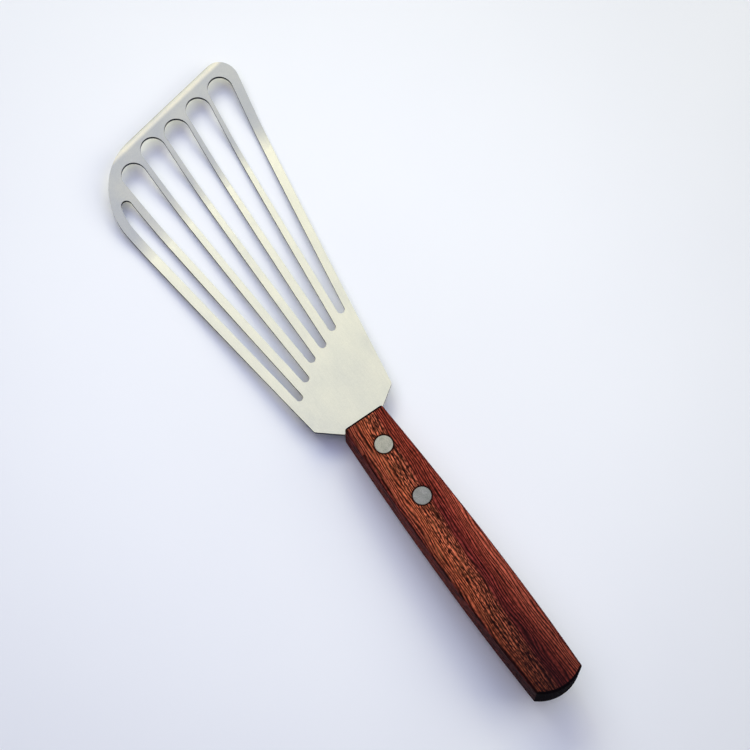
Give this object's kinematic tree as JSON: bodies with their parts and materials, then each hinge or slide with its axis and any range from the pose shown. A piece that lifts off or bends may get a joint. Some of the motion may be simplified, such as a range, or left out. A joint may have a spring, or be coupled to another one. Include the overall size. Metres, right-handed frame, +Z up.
{
  "type": "fish spatula",
  "caption": "Fish spatula with a slanted, slotted steel blade that fans out to a thin, lifted front edge, its tang riveted into a flat hardwood handle.",
  "frame": {"origin": "middle of the footprint, on the surface that the spatula lies on", "axes": "+X from the handle's butt towards the blade's front edge, +Z up from the surface, +Y to the short side of the blade"},
  "size_m": [0.3048, 0.0802, 0.0287],
  "materials": {
    "blade_steel": "satin",
    "handle_wood": "satin",
    "rivet_steel": "satin"
  },
  "bodies": {
    "root": {"blade": "blade_steel", "handle": "handle_wood", "front_rivet_pin": "rivet_steel", "front_rivet_sleeve": "rivet_steel", "rear_rivet_pin": "rivet_steel", "rear_rivet_sleeve": "rivet_steel"}
  },
  "joints": []
}
